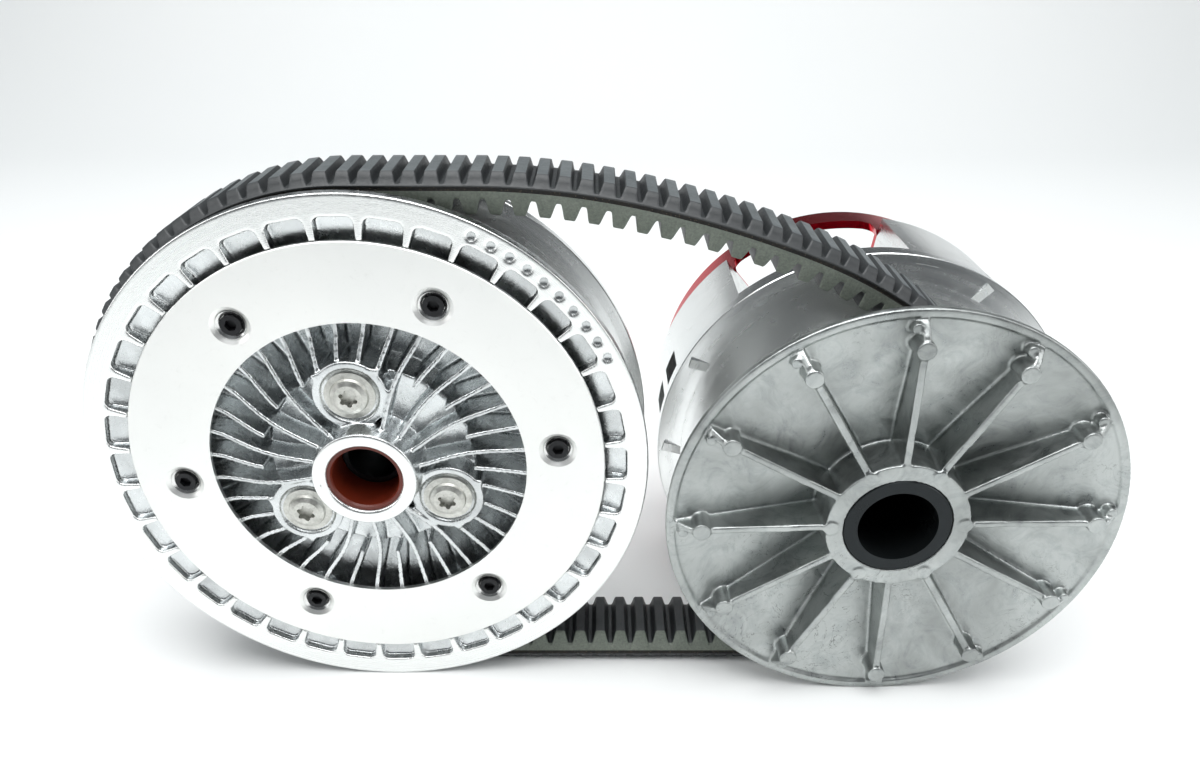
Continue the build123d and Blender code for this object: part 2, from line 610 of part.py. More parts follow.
def main():
    os.makedirs("parts", exist_ok=True)
    write("drive_shaft", drive_shaft())
    write("drive_fixed_sheave", drive_fixed_sheave())
    write("belt_bearing_inner_ring", belt_bearing_inner())
    write("belt_bearing_outer_ring", belt_bearing_outer())
    write("belt_bearing_needles", belt_bearing_needles())
    write("drive_spider", drive_spider())
    write("spider_guide_buttons", guide_buttons())
    write("spider_roller_pins", roller_pins())
    write("drive_moving_sheave", drive_moving_sheave())
    write("drive_slide_bush", drive_slide_bush())
    write("flyweight_pins", flyweight_pins())
    for index in range(3):
        write(f"spider_roller_{index + 1}", cam_roller(index))
        write(f"flyweight_{index + 1}", flyweight(index))
        write(f"torque_roller_{index + 1}", at_driven(torque_roller(index)))
    write("drive_cover", drive_cover())
    write("cover_screws", cover_screws())
    write("cover_bush", cover_bush())
    write("drive_spring", drive_spring())
    write("driven_shaft", at_driven(driven_shaft()))
    write("driven_fixed_sheave", at_driven(driven_fixed_sheave()))
    write("torque_cam", at_driven(torque_cam()))
    write("shaft_nut", at_driven(shaft_nut()))
    write("driven_moving_sheave", at_driven(driven_moving_sheave()))
    write("driven_front_bush", at_driven(front_bush()))
    write("stiffener_plate", at_driven(stiffener_plate()))
    write("plate_screw_cups", [at_driven(cup) for cup in plate_cups()])
    write("plate_screws", [at_driven(screw) for screw in plate_screws()])
    write("sheave_screws", [at_driven(screw) for screw in lobe_screws()])
    write("roller_carrier", at_driven(roller_carrier()))
    write("torque_roller_pins", [at_driven(pin) for pin in torque_pins()])
    write("spring_washer", at_driven(spring_washer()))
    write("driven_spring", at_driven(driven_spring()))
    write("drive_belt", drive_belt())


main()
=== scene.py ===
from math import cos, degrees, pi, radians, sin, tan

import bpy
import numpy as np
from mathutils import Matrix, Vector


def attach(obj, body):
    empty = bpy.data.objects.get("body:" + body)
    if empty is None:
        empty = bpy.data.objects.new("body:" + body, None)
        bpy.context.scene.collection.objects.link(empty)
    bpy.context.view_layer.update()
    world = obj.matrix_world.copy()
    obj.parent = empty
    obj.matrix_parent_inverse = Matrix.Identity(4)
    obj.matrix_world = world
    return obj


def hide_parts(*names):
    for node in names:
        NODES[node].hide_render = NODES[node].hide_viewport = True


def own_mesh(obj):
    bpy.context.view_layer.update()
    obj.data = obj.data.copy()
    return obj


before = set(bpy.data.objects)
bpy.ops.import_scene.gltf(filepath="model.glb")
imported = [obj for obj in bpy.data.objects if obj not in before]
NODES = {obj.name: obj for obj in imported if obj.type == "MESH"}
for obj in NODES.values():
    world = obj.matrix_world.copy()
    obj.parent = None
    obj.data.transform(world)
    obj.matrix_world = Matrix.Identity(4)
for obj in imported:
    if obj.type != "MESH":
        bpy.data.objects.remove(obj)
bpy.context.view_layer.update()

MM = 0.001
DRIVEN_X, DRIVEN_Z = -256.5, 24.0
FLOOR_Z = -112.0


# ---------------------------------------------------------------- node helpers
class Graph:
    """Short hand for building one procedural material."""

    def __init__(self, name):
        self.material = bpy.data.materials.new(name)
        self.material.use_nodes = True
        self.tree = self.material.node_tree
        self.shader = self.tree.nodes["Principled BSDF"]
        self.object_coord = self.add("ShaderNodeTexCoord").outputs["Object"]

    def add(self, kind, **settings):
        node = self.tree.nodes.new(kind)
        for key, value in settings.items():
            setattr(node, key, value)
        return node

    def link(self, source, target):
        self.tree.links.new(source, target)

    def put(self, socket, value):
        if isinstance(value, (int, float, tuple, list)):
            socket.default_value = value
        else:
            self.link(value, socket)

    def math(self, operation, a, b=0.0, c=0.0):
        node = self.add("ShaderNodeMath", operation=operation)
        for socket, value in zip(node.inputs, (a, b, c)):
            self.put(socket, value)
        return node.outputs[0]

    def vector(self, operation, a, b=(0, 0, 0)):
        node = self.add("ShaderNodeVectorMath", operation=operation)
        self.put(node.inputs[0], a)
        self.put(node.inputs[1], b)
        return node

    def noise(self, scale, detail=3.0, rough=0.55, distortion=0.0):
        node = self.add("ShaderNodeTexNoise")
        self.link(self.object_coord, node.inputs["Vector"])
        node.inputs["Scale"].default_value = scale
        node.inputs["Detail"].default_value = detail
        node.inputs["Roughness"].default_value = rough
        node.inputs["Distortion"].default_value = distortion
        return node.outputs["Fac"]

    def cells(self, scale):
        node = self.add("ShaderNodeTexVoronoi", feature="F1")
        self.link(self.object_coord, node.inputs["Vector"])
        node.inputs["Scale"].default_value = scale
        return node.outputs["Distance"]

    def span(self, value, low, high, to_low, to_high):
        node = self.add("ShaderNodeMapRange")
        self.put(node.inputs["Value"], value)
        for key, number in (("From Min", low), ("From Max", high), ("To Min", to_low), ("To Max", to_high)):
            node.inputs[key].default_value = number
        return node.outputs["Result"]

    def ramp(self, value, *stops):
        node = self.add("ShaderNodeValToRGB")
        self.put(node.inputs["Fac"], value)
        ramp = node.color_ramp
        while len(ramp.elements) < len(stops):
            ramp.elements.new(0.5)
        for element, (place, colour) in zip(ramp.elements, stops):
            element.position = place
            element.color = (*colour, 1.0)
        return node.outputs["Color"]

    def blend(self, kind, factor, a, b):
        node = self.add("ShaderNodeMix", data_type="RGBA", blend_type=kind)
        self.put(node.inputs["Factor"], factor)
        for socket, value in ((node.inputs[6], a), (node.inputs[7], b)):
            self.put(socket, (*value, 1.0) if isinstance(value, tuple) and len(value) == 3 else value)
        return node.outputs[2]

    def bump(self, *layers):
        """Each layer is (height, depth in metres)."""
        normal = None
        for height, depth in layers:
            node = self.add("ShaderNodeBump")
            node.inputs["Strength"].default_value = 1.0
            node.inputs["Distance"].default_value = depth
            self.put(node.inputs["Height"], height)
            if normal is not None:
                self.link(normal, node.inputs["Normal"])
            normal = node.outputs["Normal"]
        self.link(normal, self.shader.inputs["Normal"])

    def set(self, **values):
        names = {"color": "Base Color", "rough": "Roughness", "metal": "Metallic",
                 "specular": "Specular IOR Level", "aniso": "Anisotropic"}
        for key, value in values.items():
            socket = self.shader.inputs[names[key]]
            if key == "color" and isinstance(value, tuple):
                value = (*value, 1.0)
            self.put(socket, value)
        return self.material

    def radius(self, centre):
        """Distance from a pulley axis, metres."""
        moved = self.vector("SUBTRACT", self.object_coord, (centre[0] * MM, 0.0, centre[1] * MM)).outputs[0]
        flat = self.vector("MULTIPLY", moved, (1.0, 0.0, 1.0)).outputs[0]
        return self.vector("LENGTH", flat).outputs["Value"], moved

    def around(self, moved):
        """Tangent running round the pulley axis, so a highlight stretches along the radius."""
        cross = self.vector("CROSS_PRODUCT", moved, (0.0, 1.0, 0.0)).outputs[0]
        turn = self.add("ShaderNodeVectorTransform", vector_type="VECTOR",
                        convert_from="OBJECT", convert_to="WORLD")
        self.link(cross, turn.inputs[0])
        unit = self.vector("NORMALIZE", turn.outputs[0]).outputs[0]
        self.link(unit, self.shader.inputs["Tangent"])

    def depth(self):
        """Place along the pulley axes, metres."""
        split = self.add("ShaderNodeSeparateXYZ")
        self.link(self.object_coord, split.inputs[0])
        return split.outputs["Y"]

    def rings(self, radius, scale):
        """Noise that depends on the radius alone: lathe marks."""
        node = self.add("ShaderNodeTexNoise", noise_dimensions="1D")
        self.put(node.inputs["W"], radius)
        node.inputs["Scale"].default_value = scale
        node.inputs["Detail"].default_value = 4.0
        return node.outputs["Fac"]


DRIVE_AXIS = (0.0, 0.0)
DRIVEN_AXIS = (DRIVEN_X, DRIVEN_Z)
SLOPE = tan(radians(13.5))       # each side of the V
WHITE = (1.0, 1.0, 1.0)

# Where the machined faces of the two castings start, metres in the part's frame.
FINNED_RIM_Y, FINNED_RIM_R = 0.0171, 0.1145
FINNED_HUB_Y, FINNED_HUB_R = 0.0052, 0.0246
FINNED_CONE, RIBBED_CONE = 0.0546, 0.0364


# ---------------------------------------------------------------- materials
def cast_aluminium(name, tint, rough, flow=0.6, machined=None, hair_depth=0.75):
    """Die-cast aluminium: orange-peel grain, flow marks and hair lines; machined faces stay bright.

    flow is the share of dark flow streaks and hair_depth that of the thin dark lines.
    """
    g = Graph(name)
    patches = g.noise(16.0, 5.0, 0.62, distortion=0.6)
    flow_marks = g.noise(48.0, 7.0, 0.68, distortion=2.2)
    grain = g.noise(1500.0, 3.0, 0.6)
    dark = tuple(c * 0.66 for c in tint)
    colour = g.ramp(patches, (0.36, dark), (0.60, tint))
    streak = g.ramp(flow_marks, (0.36, (0.72, 0.73, 0.74)), (0.54, WHITE))
    colour = g.blend("MULTIPLY", flow, colour, streak)
    contour = g.math("ABSOLUTE", g.math("SUBTRACT", g.noise(75.0, 4.0, 0.6, distortion=1.2), 0.5))
    where = g.span(g.noise(11.0, 3.0, 0.5), 0.52, 0.62, 0.0, hair_depth)
    hair = g.math("MULTIPLY", g.span(contour, 0.002, 0.008, 1.0, 0.0), where)
    colour = g.blend("MIX", hair, colour, (0.16, 0.165, 0.16))
    roughness = g.math("ADD", g.span(grain, 0.3, 0.7, 0.0, 0.08),
                       g.span(flow_marks, 0.34, 0.66, rough[0], rough[1]))
    height = flow_marks
    if machined:
        axis, mask = machined(g)
        marks = g.rings(g.radius(axis)[0], 2600.0)
        bright = g.ramp(marks, (0.35, (0.80, 0.81, 0.80)), (0.62, (0.93, 0.94, 0.93)))
        colour = g.blend("MIX", mask, colour, bright)
        roughness = g.math("ADD", g.math("MULTIPLY", roughness, g.math("SUBTRACT", 1.0, mask)),
                           g.math("MULTIPLY", g.span(marks, 0.35, 0.65, 0.22, 0.34), mask))
        height = g.math("MULTIPLY", flow_marks, g.math("SUBTRACT", 1.0, mask))
    g.bump((height, 0.00022), (g.noise(420.0, 2.0, 0.5), 0.00006), (grain, 0.00004))
    return g.set(color=colour, rough=roughness, metal=1.0)


def finned_machining(g):
    """Turned rim, hub face and belt face of the driven pulley's front half."""
    radius, _ = g.radius(DRIVEN_AXIS)
    y = g.depth()
    rim = g.math("MULTIPLY", g.math("LESS_THAN", y, FINNED_RIM_Y),
                 g.math("GREATER_THAN", radius, FINNED_RIM_R))
    hub = g.math("MULTIPLY", g.math("LESS_THAN", y, FINNED_HUB_Y), g.math("LESS_THAN", radius, FINNED_HUB_R))
    belt_face = g.math("GREATER_THAN", g.math("MULTIPLY_ADD", radius, SLOPE, y), FINNED_CONE)
    return DRIVEN_AXIS, g.math("MAXIMUM", g.math("MAXIMUM", rim, hub), belt_face)


def ribbed_machining(g):
    """Turned belt face of the drive pulley's front half."""
    radius, _ = g.radius(DRIVE_AXIS)
    cone = g.math("MULTIPLY_ADD", radius, SLOPE, g.depth())
    return DRIVE_AXIS, g.math("GREATER_THAN", cone, RIBBED_CONE)


def turned_aluminium(name, axis, tint=(0.86, 0.87, 0.865), rough=(0.20, 0.27), aniso=0.6, depth=0.000008):
    """Lathe-turned aluminium with fine concentric marks and a stretched highlight."""
    g = Graph(name)
    radius, moved = g.radius(axis)
    fine = g.rings(radius, 3200.0)
    broad = g.rings(radius, 260.0)
    smear = g.noise(11.0, 3.0, 0.5)
    scratch = g.noise(60.0, 6.0, 0.7, distortion=1.0)
    colour = g.blend("MULTIPLY", 0.6, tint, g.ramp(smear, (0.32, (0.88, 0.89, 0.89)), (0.66, WHITE)))
    colour = g.blend("MULTIPLY", 0.25, colour, g.ramp(fine, (0.35, (0.80, 0.81, 0.82)), (0.6, WHITE)))
    roughness = g.math("ADD", g.span(broad, 0.35, 0.65, rough[0], rough[1]),
                       g.span(scratch, 0.5, 0.7, 0.0, 0.05))
    g.bump((fine, depth))
    g.around(moved)
    return g.set(color=colour, rough=roughness, metal=1.0, aniso=aniso)


def brushed_plate(name):
    """Satin plate: fine circular brushing under a nearly white finish."""
    g = Graph(name)
    radius, moved = g.radius(DRIVEN_AXIS)
    fine = g.rings(radius, 2600.0)
    cloud = g.noise(9.0, 3.0, 0.5)
    scuffs = g.noise(150.0, 8.0, 0.75, distortion=2.0)
    colour = g.ramp(cloud, (0.3, (0.83, 0.835, 0.82)), (0.7, (0.90, 0.90, 0.88)))
    colour = g.blend("MULTIPLY", 0.25, colour, g.ramp(scuffs, (0.30, (0.78, 0.78, 0.77)), (0.42, WHITE)))
    roughness = g.math("ADD", g.span(fine, 0.35, 0.65, 0.30, 0.40), g.span(scuffs, 0.3, 0.7, 0.06, 0.0))
    g.bump((fine, 0.000012), (g.noise(900.0, 2.0, 0.5), 0.00001))
    g.around(moved)
    return g.set(color=colour, rough=roughness, metal=1.0, aniso=0.3)


def red_anodised(name):
    g = Graph(name)
    cloud = g.noise(30.0, 4.0, 0.6)
    grain = g.noise(1700.0, 2.0, 0.5)
    colour = g.ramp(cloud, (0.3, (0.46, 0.003, 0.014)), (0.7, (0.60, 0.007, 0.022)))
    roughness = g.span(grain, 0.3, 0.7, 0.17, 0.27)
    g.bump((cloud, 0.00004), (grain, 0.000008))
    return g.set(color=colour, rough=roughness, metal=1.0)


def steel(name, tint, rough, axis=None, metal=1.0, mottle=0.25, scale=40.0):
    """Machined or coated steel; turned marks when an axis is given."""
    g = Graph(name)
    cloud = g.noise(scale, 5.0, 0.6)
    grain = g.noise(1600.0, 3.0, 0.6)
    dark = tuple(c * (1.0 - mottle) for c in tint)
    colour = g.ramp(cloud, (0.34, dark), (0.66, tint))
    layers = [(grain, 0.00002)]
    roughness = g.math("ADD", g.span(cloud, 0.3, 0.7, rough[0], rough[1]), g.span(grain, 0.3, 0.7, 0.0, 0.05))
    if axis is not None:
        radius, _ = g.radius(axis)
        marks = g.rings(radius, 2400.0)
        layers.append((marks, 0.00002))
        colour = g.blend("MULTIPLY", 0.3, colour, g.ramp(marks, (0.35, (0.7, 0.7, 0.7)), (0.6, WHITE)))
    g.bump(*layers)
    return g.set(color=colour, rough=roughness, metal=metal)


def zinc_flake(name):
    g = Graph(name)
    flakes = g.cells(1100.0)
    cloud = g.noise(220.0, 6.0, 0.7)
    colour = g.ramp(cloud, (0.34, (0.42, 0.42, 0.39)), (0.66, (0.72, 0.72, 0.68)))
    colour = g.blend("MULTIPLY", 0.4, colour, g.ramp(flakes, (0.05, (0.72, 0.72, 0.70)), (0.5, WHITE)))
    g.bump((cloud, 0.00008), (flakes, 0.00003))
    return g.set(color=colour, rough=g.span(cloud, 0.3, 0.7, 0.30, 0.50), metal=1.0)


def polymer(name, tint, rough):
    g = Graph(name)
    cloud = g.noise(60.0, 5.0, 0.6)
    grain = g.noise(1400.0, 3.0, 0.6)
    dark = tuple(c * 0.7 for c in tint)
    colour = g.ramp(cloud, (0.3, dark), (0.7, tint))
    g.bump((cloud, 0.00004), (grain, 0.00004))
    return g.set(color=colour, rough=g.span(grain, 0.3, 0.7, rough[0], rough[1]), metal=0.0,
                 specular=0.5)


def belt_rubber(name, dark, light):
    """Moulded rubber of the cogs: slight bloom and fine scuffing."""
    g = Graph(name)
    bloom = g.noise(38.0, 5.0, 0.65)
    scuffs = g.noise(420.0, 7.0, 0.72, distortion=0.8)
    grain = g.noise(2200.0, 2.0, 0.5)
    colour = g.ramp(bloom, (0.3, dark), (0.7, light))
    colour = g.blend("MIX", g.span(scuffs, 0.60, 0.78, 0.0, 0.3), colour, tuple(2.0 * c for c in light))
    roughness = g.math("ADD", g.span(scuffs, 0.3, 0.7, 0.34, 0.54), g.span(grain, 0.3, 0.7, 0.0, 0.06))
    g.bump((scuffs, 0.00010), (grain, 0.00004))
    return g.set(color=colour, rough=roughness, metal=0.0, specular=0.55)


def belt_flank(name):
    """Cut side of the belt: grey-green fibre-loaded compound with cut marks across it."""
    g = Graph(name)
    fibre = g.noise(900.0, 7.0, 0.7, distortion=0.6)
    cloud = g.noise(70.0, 5.0, 0.6)
    specks = g.cells(700.0)
    colour = g.ramp(fibre, (0.30, (0.13, 0.148, 0.128)), (0.70, (0.25, 0.275, 0.235)))
    colour = g.blend("MULTIPLY", 0.7, colour, g.ramp(cloud, (0.3, (0.72, 0.74, 0.72)), (0.7, WHITE)))
    colour = g.blend("MIX", g.span(specks, 0.0, 0.13, 0.55, 0.0), colour, (0.34, 0.35, 0.31))
    g.bump((fibre, 0.00018), (cloud, 0.00015))
    return g.set(color=colour, rough=g.span(fibre, 0.3, 0.7, 0.72, 0.92), metal=0.0, specular=0.3)


def belt_cord(name):
    """Cord line: black adhesive with tan thread ends showing through."""
    g = Graph(name)
    threads = g.cells(820.0)
    cloud = g.noise(260.0, 6.0, 0.7)
    colour = g.ramp(cloud, (0.42, (0.008, 0.008, 0.008)), (0.58, (0.020, 0.018, 0.015)))
    colour = g.blend("MIX", g.span(threads, 0.06, 0.24, 0.42, 0.0), colour, (0.30, 0.23, 0.14))
    g.bump((threads, 0.00020), (cloud, 0.00015))
    return g.set(color=colour, rough=g.span(cloud, 0.3, 0.7, 0.6, 0.85), metal=0.0, specular=0.4)


MATERIALS = {
    "cast_ribbed": cast_aluminium("cast_ribbed", (0.50, 0.525, 0.515), (0.24, 0.42), 0.85, ribbed_machining),
    "cast_finned": cast_aluminium("cast_finned", (0.74, 0.765, 0.77), (0.15, 0.30), 0.2,
                                  finned_machining, 0.0),
    "cast_inner": cast_aluminium("cast_inner", (0.60, 0.62, 0.63), (0.34, 0.50), 0.6),
    "turned_drive": turned_aluminium("turned_drive", DRIVE_AXIS),
    "turned_driven": turned_aluminium("turned_driven", DRIVEN_AXIS),
    "plate_satin": brushed_plate("plate_satin"),
    "red_anodised": red_anodised("red_anodised"),
    "black_steel_drive": steel("black_steel_drive", (0.020, 0.024, 0.026), (0.22, 0.34), DRIVE_AXIS, 0.7),
    "black_steel_driven": steel("black_steel_driven", (0.04, 0.042, 0.045), (0.28, 0.42), DRIVEN_AXIS, 0.9),
    "black_screw": steel("black_screw", (0.022, 0.023, 0.025), (0.36, 0.52), None, 0.6, 0.35, 300.0),
    "bright_steel": steel("bright_steel", (0.62, 0.62, 0.61), (0.22, 0.36), None, 1.0, 0.2, 90.0),
    "cup_steel": steel("cup_steel", (0.78, 0.78, 0.77), (0.12, 0.22), None, 1.0, 0.12, 160.0),
    "spring_steel": steel("spring_steel", (0.20, 0.21, 0.23), (0.32, 0.46), None, 1.0, 0.3, 120.0),
    "zinc_flake": zinc_flake("zinc_flake"),
    "bush_lining": polymer("bush_lining", (0.15, 0.018, 0.006), (0.30, 0.46)),
    "nylon": polymer("nylon", (0.030, 0.030, 0.032), (0.40, 0.56)),
    "belt_rubber": belt_rubber("belt_rubber", (0.022, 0.025, 0.027), (0.040, 0.044, 0.046)),
    # belt_crest_painted_highlight: lighter copy of the belt rubber for the flat cog crests; the extra
    # lightness is a painted highlight of the top light, not a different rubber.
    "belt_crest_painted_highlight": belt_rubber("belt_crest_painted_highlight", (0.070, 0.080, 0.084), (0.125, 0.140, 0.145)),
    "belt_flank": belt_flank("belt_flank"),
    "belt_cord": belt_cord("belt_cord"),
}

NODE_MATERIAL = {
    "drive_shaft": "black_steel_drive", "drive_fixed_sheave": "cast_ribbed",
    "belt_bearing_inner_ring": "bright_steel", "belt_bearing_outer_ring": "bright_steel",
    "belt_bearing_needles": "bright_steel", "drive_spider": "cast_inner",
    "spider_guide_buttons": "nylon", "spider_roller_pins": "bright_steel",
    "drive_moving_sheave": "turned_drive", "drive_slide_bush": "bush_lining",
    "flyweight_pins": "bright_steel", "drive_cover": "red_anodised", "cover_screws": "black_screw",
    "cover_bush": "bush_lining", "driven_shaft": "black_steel_driven",
    "driven_fixed_sheave": "turned_driven", "torque_cam": "bright_steel", "shaft_nut": "zinc_flake",
    "driven_moving_sheave": "cast_finned", "driven_front_bush": "bush_lining",
    "stiffener_plate": "plate_satin", "plate_screw_cups": "cup_steel", "plate_screws": "black_screw",
    "sheave_screws": "zinc_flake", "roller_carrier": "cast_inner", "torque_roller_pins": "bright_steel",
    "spring_washer": "bright_steel",
}
for index in (1, 2, 3):
    NODE_MATERIAL[f"spider_roller_{index}"] = "bright_steel"
    NODE_MATERIAL[f"flyweight_{index}"] = "zinc_flake"
    NODE_MATERIAL[f"torque_roller_{index}"] = "nylon"


def paint(obj, *names):
    obj.data.materials.clear()
    for name in names:
        obj.data.materials.append(MATERIALS[name])


def smooth(obj, angle=35.0):
    obj.data.shade_smooth()
    obj.data.set_sharp_from_angle(angle=radians(angle))


for node, material in NODE_MATERIAL.items():
    paint(NODES[node], material)


def cast_skin(node, voxel, passes):
    """Rounds every edge of a casting a little, as a die-cast surface has no sharp corners."""
    remesh = NODES[node].modifiers.new("cast_skin", "REMESH")
    remesh.mode = "VOXEL"
    remesh.voxel_size = voxel * 1.0
    remesh.use_smooth_shade = True
    relax = NODES[node].modifiers.new("cast_relax", "SMOOTH")
    relax.factor = 0.5
    relax.iterations = passes


cast_skin("drive_fixed_sheave", 0.0007, 3)
cast_skin("driven_moving_sheave", 0.0006, 3)
cast_skin("drive_spider", 0.0010, 4)
cast_skin("roller_carrier", 0.0010, 3)


# ---------------------------------------------------------------- belt
BELT_Y, BELT_HALF = 43.1, 18.15
BELT_START = (51.0, 4.8)
BELT_ROUTE = ((118.0, 56.0), (240.0, 12.0), (500.0, 10.0), (350.0, 12.0), (54.8, 0.0), (132.3, 180.0),
              (197.5, 0.0), (110.0, 90.0))
OUTER_COGS, INNER_COGS = 123, 104
# Material slots of the belt; the fourth is the lighter crest rubber, a painted highlight.
RUBBER, FLANK, CORD, PAINTED_HIGHLIGHT = range(4)


def route_pieces():
    x, z = BELT_START
    heading, pieces = 90.0, []
    for size, turn in BELT_ROUTE:
        length = size * radians(turn) if turn else size
        pieces.append((x, z, heading, size if turn else 0.0, length))
        if turn:
            x += size * (sin(radians(heading + turn)) - sin(radians(heading)))
            z += size * (cos(radians(heading)) - cos(radians(heading + turn)))
        else:
            x += size * cos(radians(heading))
            z += size * sin(radians(heading))
        heading += turn
    return pieces


def route_point(pieces, s):
    for x, z, heading, radius, length in pieces:
        if s <= length:
            break
        s -= length
    s = min(s, length)
    if radius:
        turn = degrees(s / radius)
        x += radius * (sin(radians(heading + turn)) - sin(radians(heading)))
        z += radius * (cos(radians(heading)) - cos(radians(heading + turn)))
        heading += turn
    else:
        x += s * cos(radians(heading))
        z += s * sin(radians(heading))
    return x, z, heading


def cog(phase, crest, root):
    """Height share of a cog at a phase from -0.5 to 0.5: flat crest, sloped sides, soft corners."""
    t = min(max((root - 2.0 * abs(phase)) / (root - crest), 0.0), 1.0)
    return t * t * (3.0 - 2.0 * t)


def half(n):
    """Half-width of the belt at a height from the cord line."""
    return BELT_HALF + (n - 1.5) * SLOPE


def belt_section(up, low):
    """Right half of the cross-section from the inner middle to the outer one, as (half-width, height)."""
    top = 1.9 + 4.85 * up
    return [
        (0.0, low), (half(low) * 0.6, low), (half(low) - 0.8, low), (half(low) - 0.15, low + 0.45),
        (half(low + 1.2), low + 1.2), (half(-4.0), -4.0), (half(-1.15), -1.15), (half(-0.95) - 0.35, -0.85),
        (half(0.0) - 0.42, 0.0), (half(0.35) - 0.35, 0.45), (half(0.7), 0.75), (half(1.35), 1.35),
        (BELT_HALF - 0.35, 1.75), (BELT_HALF - 0.7 - 0.2 * up, 1.9 + 0.15 * up),
        (BELT_HALF - 1.0 - 1.1 * up, 1.9 + 2.4 * up), (BELT_HALF - 1.4 - 2.3 * up, 1.9 + 4.45 * up),
        (BELT_HALF - 2.2 - 2.3 * up, top), (BELT_HALF * 0.5, top), (0.0, top),
    ]


def belt_slot(position, on_crest):
    """Material of the strip that starts at a point of belt_section."""
    # Strips on the flat cog crests take the lighter rubber copy: a painted highlight.
    if position >= 16 and on_crest:
        return PAINTED_HIGHLIGHT
    if position < 2 or position >= 10:
        return RUBBER
    return CORD if position >= 6 else FLANK


def belt_mesh():
    pieces = route_pieces()
    total = sum(piece[4] for piece in pieces)
    step = 0.42
    count = int(total / step)
    rings, crests = [], []
    for k in range(count):
        s = total * k / count
        x, z, heading = route_point(pieces, s)
        outer_phase = (s / total * OUTER_COGS + 0.5) % 1.0 - 0.5
        inner_phase = (s / total * INNER_COGS + 0.5) % 1.0 - 0.5
        up = cog(outer_phase, 0.50, 0.86)
        side = belt_section(up, -5.1 - 7.4 * cog(inner_phase, 0.38, 0.86))
        loop = side + [(-w, n) for w, n in side[-2:0:-1]]
        nx, nz = sin(radians(heading)), -cos(radians(heading))
        rings.append([(x + n * nx, BELT_Y + w, z + n * nz) for w, n in loop])
        # Rings on the flat cog crest, where the painted highlight goes.
        crests.append(up > 0.97)
    points = np.array(rings).reshape(-1, 3) * MM
    columns = len(rings[0])
    faces, slots = [], []
    for k in range(count):
        here, there = k * columns, (k + 1) % count * columns
        on_crest = crests[k] and crests[(k + 1) % count]
        for c in range(columns):
            d = (c + 1) % columns
            faces.append((here + c, there + c, there + d, here + d))
            slots.append(belt_slot(min(c, columns - 1 - c), on_crest))
    mesh = bpy.data.meshes.new("belt_body")
    mesh.from_pydata(points.tolist(), [], faces)
    for name in ("belt_rubber", "belt_flank", "belt_cord", "belt_crest_painted_highlight"):
        mesh.materials.append(MATERIALS[name])
    mesh.polygons.foreach_set("material_index", slots)
    mesh.update()
    return mesh


belt = bpy.data.objects.new("belt_body", belt_mesh())
bpy.context.scene.collection.objects.link(belt)
smooth(belt, 38.0)
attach(belt, "belt")
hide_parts("drive_belt")


# ---------------------------------------------------------------- springs
COIL_STEPS, WIRE_SIDES = 56, 14


def spring_mesh(name, centre, mean_r, wire_r, y0, y1, active):
    """Helical spring with a closed, flattened coil at each end."""
    height = y1 - y0 - 2 * wire_r
    turns = active + 2.0
    steps = int(turns * COIL_STEPS)
    sides = WIRE_SIDES
    points, faces = [], []
    closed = 2 * wire_r * 1.02
    for k in range(steps + 1):
        t = turns * k / steps
        if t < 1.0:
            y = closed * 0.5 * t * t
        elif t > turns - 1.0:
            y = height - closed * 0.5 * (turns - t) ** 2
        else:
            y = closed * 0.5 + (height - closed) * (t - 1.0) / (turns - 2.0)
        angle = 2 * pi * t
        for side in range(sides):
            a = 2 * pi * side / sides
            r = mean_r + wire_r * cos(a)
            yy = min(max(y + y0 + wire_r + wire_r * sin(a), y0), y1)
            points.append(((centre[0] + r * cos(angle)) * MM, yy * MM, (centre[1] + r * sin(angle)) * MM))
    for k in range(steps):
        for side in range(sides):
            a, b = k * sides + side, k * sides + (side + 1) % sides
            faces.append((a, b, b + sides, a + sides))
    faces.append(tuple(range(sides)))
    faces.append(tuple(range(len(points) - 1, len(points) - 1 - sides, -1)))
    mesh = bpy.data.meshes.new(name)
    mesh.from_pydata(points, [], faces)
    obj = bpy.data.objects.new(name, mesh)
    bpy.context.scene.collection.objects.link(obj)
    paint(obj, "spring_steel")
    smooth(obj, 50.0)
    return obj


drive_coil = spring_mesh("drive_spring_coil", DRIVE_AXIS, 27.0, 2.4, 108.0, 169.0, 4.0)
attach(drive_coil, "drive_fixed")
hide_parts("drive_spring")
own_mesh(drive_coil)

driven_coil = spring_mesh("driven_spring_coil", DRIVEN_AXIS, 56.2, 2.4, 57.6, 119.2, 3.2)
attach(driven_coil, "driven_fixed")
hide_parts("driven_spring")
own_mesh(driven_coil)


# ---------------------------------------------------------------- studio
def backdrop():
    """Seamless sweep: floor running into a low curve behind the part."""
    profile = [(-1.6, 0.0), (1.2, 0.0)]
    profile += [(1.2 + 0.8 * sin(a), 0.8 - 0.8 * cos(a)) for a in np.linspace(0.05, 1.2, 18)]
    points, faces = [], []
    for y, z in profile:
        points += [(-4.0, y, z + FLOOR_Z * MM), (4.0, y, z + FLOOR_Z * MM)]
    for k in range(len(profile) - 1):
        faces.append((2 * k, 2 * k + 1, 2 * k + 3, 2 * k + 2))
    mesh = bpy.data.meshes.new("studio_sweep")
    mesh.from_pydata(points, [], faces)
    obj = bpy.data.objects.new("studio_sweep", mesh)
    bpy.context.scene.collection.objects.link(obj)
    obj.data.shade_smooth()
    g = Graph("studio_white")
    tone = g.ramp(g.noise(1.2, 2.0, 0.5), (0.3, (0.86, 0.875, 0.87)), (0.7, (0.88, 0.89, 0.885)))
    obj.data.materials.append(g.set(color=tone, rough=0.9, metal=0.0, specular=0.1))


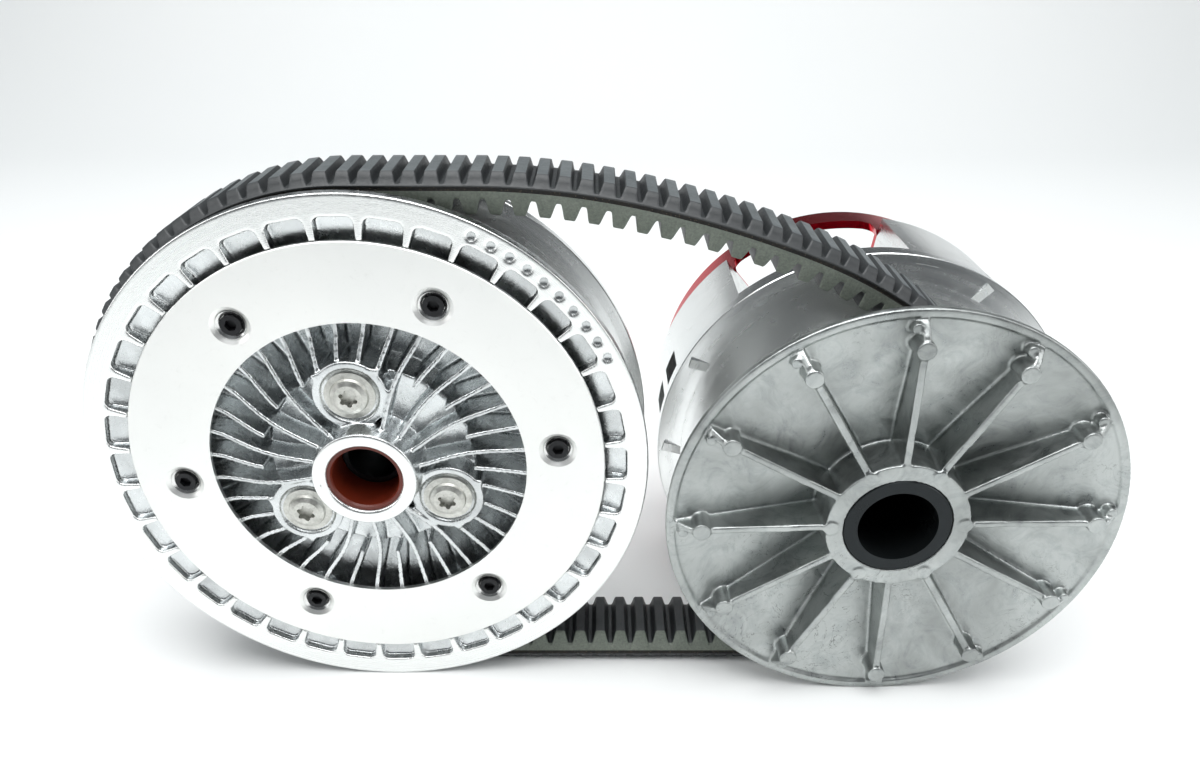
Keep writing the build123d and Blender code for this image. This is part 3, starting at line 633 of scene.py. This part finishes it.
def softbox(name, place, aim, size, power, tint=(1.0, 1.0, 1.0)):
    light = bpy.data.lights.new(name, "AREA")
    light.shape = "RECTANGLE"
    light.size, light.size_y = size
    light.energy = power
    light.color = tint
    obj = bpy.data.objects.new(name, light)
    bpy.context.scene.collection.objects.link(obj)
    obj.location = place
    way = [b - a for a, b in zip(place, aim)]
    obj.rotation_euler = Vector(way).to_track_quat("-Z", "Y").to_euler()


# Share of the height from straight down to straight up, and the sky's brightness there.
SKY_STOPS = ((0.0, 0.5), (0.48, 0.30), (0.52, 0.16), (0.70, 0.13), (0.86, 0.5), (1.0, 0.8))


def studio_world():
    world = bpy.data.worlds.new("studio")
    bpy.context.scene.world = world
    world.use_nodes = True
    tree = world.node_tree
    background = tree.nodes["Background"]
    coord = tree.nodes.new("ShaderNodeTexCoord")
    split = tree.nodes.new("ShaderNodeSeparateXYZ")
    ramp = tree.nodes.new("ShaderNodeValToRGB")
    height = tree.nodes.new("ShaderNodeMath")
    height.operation = "MULTIPLY_ADD"
    height.inputs[1].default_value = 0.5
    height.inputs[2].default_value = 0.5
    tree.links.new(coord.outputs["Generated"], split.inputs[0])
    tree.links.new(split.outputs["Z"], height.inputs[0])
    tree.links.new(height.outputs[0], ramp.inputs["Fac"])
    while len(ramp.color_ramp.elements) < len(SKY_STOPS):
        ramp.color_ramp.elements.new(0.5)
    for element, (place, value) in zip(ramp.color_ramp.elements, SKY_STOPS):
        element.position = place
        element.color = (value * 0.94, value, value * 1.04, 1.0)
    tree.links.new(ramp.outputs["Color"], background.inputs["Color"])
    background.inputs["Strength"].default_value = 0.75


backdrop()
studio_world()
softbox("key_top", (-0.20, -0.25, 1.6), (-0.12, 0.0, 0.0), (1.9, 1.3), 33.0)
softbox("left_wall", (-1.9, -0.5, 0.9), (-0.2, 0.1, 0.05), (0.6, 1.6), 10.0)
softbox("right_wall", (1.7, -0.5, 0.8), (-0.1, 0.1, 0.05), (0.8, 1.4), 11.0)
softbox("back_wash", (-0.1, 1.2, 1.5), (-0.1, 1.9, 0.0), (2.4, 0.5), 9.0)

camera = bpy.data.cameras.new("camera")
camera_object = bpy.data.objects.new("camera", camera)
bpy.context.scene.collection.objects.link(camera_object)
camera_object.location = (-0.1442, -0.3590, 0.2671)
camera_object.rotation_euler = (radians(62.47), 0.0, 0.0)
camera.lens = 27.40
camera.sensor_width = 36.0
camera.clip_start = 0.01
camera.clip_end = 50.0
bpy.context.scene.camera = camera_object
bpy.context.scene.view_settings.view_transform = "Standard"
bpy.context.scene.view_settings.exposure = 0.0
